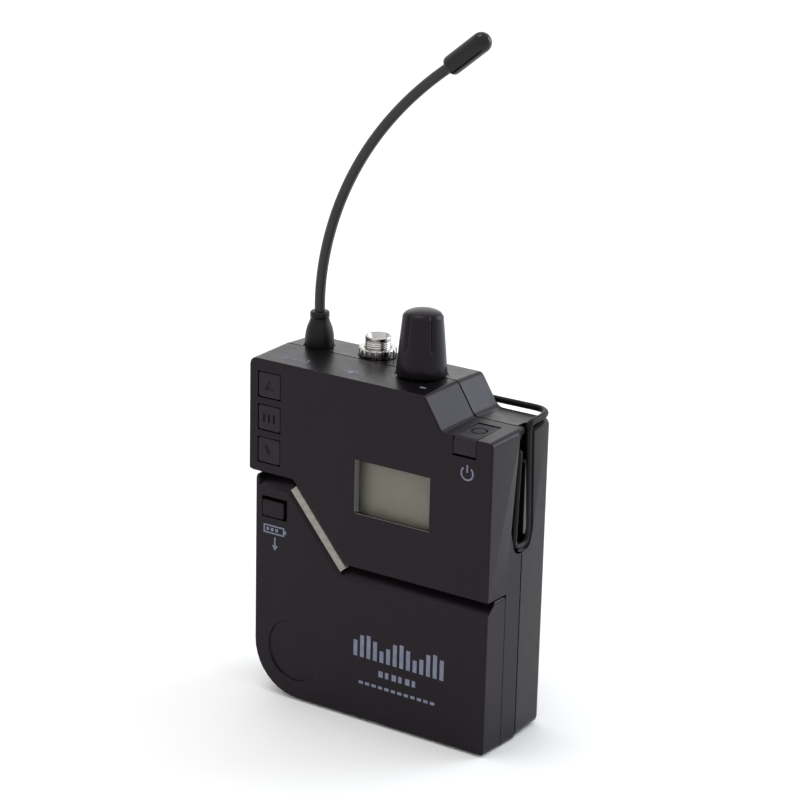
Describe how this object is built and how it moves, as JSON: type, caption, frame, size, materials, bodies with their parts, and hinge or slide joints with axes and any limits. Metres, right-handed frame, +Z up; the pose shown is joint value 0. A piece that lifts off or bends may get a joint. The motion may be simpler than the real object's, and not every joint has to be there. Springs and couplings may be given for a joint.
{
  "type": "wireless bodypack transmitter",
  "caption": "Flat black belt-worn radio pack with a stepped top, whip antenna, microphone socket, gain knob, display, keys, sliding battery door and a wire belt clip.",
  "frame": {"origin": "under the middle of the pack, on the surface that it stands on", "axes": "+Z up along the pack towards the antenna, -Y out of the front with the display, +X to the right seen from the front"},
  "size_m": [0.0654, 0.0263, 0.1565],
  "materials": {
    "satin_black_plastic": "satin moulded black, faintly warm",
    "key_black": "fine matt moulded black",
    "soft_black": "smooth flexible black",
    "black_steel": "blackened spring steel",
    "chrome": "bright plated",
    "brass": "plain",
    "tin": "tinned sheet and spring steel",
    "board_green": "solder resist on glass-epoxy board",
    "display_grey": "reflective liquid crystal grey",
    "clear": "clear moulded",
    "milky": "translucent milky moulding",
    "rubber_grey": "matt silicone",
    "cell_wrap": "steel can in a plain glossy sleeve"
  },
  "bodies": {
    "root": {"front_housing": "satin_black_plastic", "rear_shell": "satin_black_plastic", "battery_tray": "satin_black_plastic", "antenna_boot": "soft_black", "whip_lower": "soft_black", "clip_spring_left": "black_steel", "clip_spring_right": "black_steel", "case_screw_1": "black_steel", "case_screw_2": "black_steel", "case_screw_3": "black_steel", "case_screw_4": "black_steel", "mic_jack": "chrome", "mic_jack_nut": "chrome", "antenna_socket": "brass", "key_switch_1": "tin", "key_switch_2": "tin", "key_switch_3": "tin", "power_switch": "tin", "rf_shield": "tin", "gain_pot": "tin", "spring_lower": "tin", "spring_upper": "tin", "contact_bridge": "tin", "contact_negative": "tin", "contact_positive": "tin", "main_board": "board_green", "lcd_module": "display_grey", "lcd_window": "clear", "status_led": "clear", "light_bar": "milky", "lcd_frame": "rubber_grey", "key_mat": "rubber_grey", "battery_1": "cell_wrap", "battery_2": "cell_wrap"},
    "door": {"battery_door": "satin_black_plastic"},
    "latch": {"door_latch": "satin_black_plastic"},
    "up_key": {"key_up": "key_black"},
    "set_key": {"key_set": "key_black"},
    "down_key": {"key_down": "key_black"},
    "power": {"power_key": "key_black"},
    "knob": {"gain_knob": "satin_black_plastic", "pot_shaft": "tin"},
    "antenna": {"whip_upper": "soft_black", "antenna_tip": "soft_black"},
    "clip": {"clip_tongue": "black_steel"}
  },
  "joints": [
    {"name": "up_key_press", "type": "slide", "parent": "root", "child": "up_key", "axis": [0, 1, 0], "range_m": [0, 0.0006], "stiffness_N_per_m": 400},
    {"name": "set_key_press", "type": "slide", "parent": "root", "child": "set_key", "axis": [0, 1, 0], "range_m": [0, 0.0006], "stiffness_N_per_m": 400},
    {"name": "down_key_press", "type": "slide", "parent": "root", "child": "down_key", "axis": [0, 1, 0], "range_m": [0, 0.0006], "stiffness_N_per_m": 400},
    {"name": "power_key_press", "type": "slide", "parent": "root", "child": "power", "axis": [0, 0, -1], "range_m": [0, 0.0003], "stiffness_N_per_m": 500},
    {"name": "gain_knob_turn", "type": "hinge", "parent": "root", "child": "knob", "pos_m": [0.00583, -0.0007, 0.08035], "axis": [0, 0, 1], "range_deg": [-150, 150]},
    {"name": "battery_door_slide", "type": "slide", "parent": "root", "child": "door", "axis": [0, 0, -1], "range_m": [0, 0.06]},
    {"name": "door_latch_press", "type": "slide", "parent": "door", "child": "latch", "axis": [0, 1, 0], "range_m": [0, 0.001], "stiffness_N_per_m": 300},
    {"name": "antenna_flex", "type": "hinge", "parent": "root", "child": "antenna", "pos_m": [-0.02352, 0.003, 0.10059], "axis": [0, 1, 0], "range_deg": [-35, 35], "stiffness_Nm_per_rad": 0.02},
    {"name": "belt_clip_swing", "type": "hinge", "parent": "root", "child": "clip", "pos_m": [0, 0.0025, 0.07335], "axis": [1, 0, 0], "range_deg": [0, 10], "stiffness_Nm_per_rad": 1.2}
  ]
}
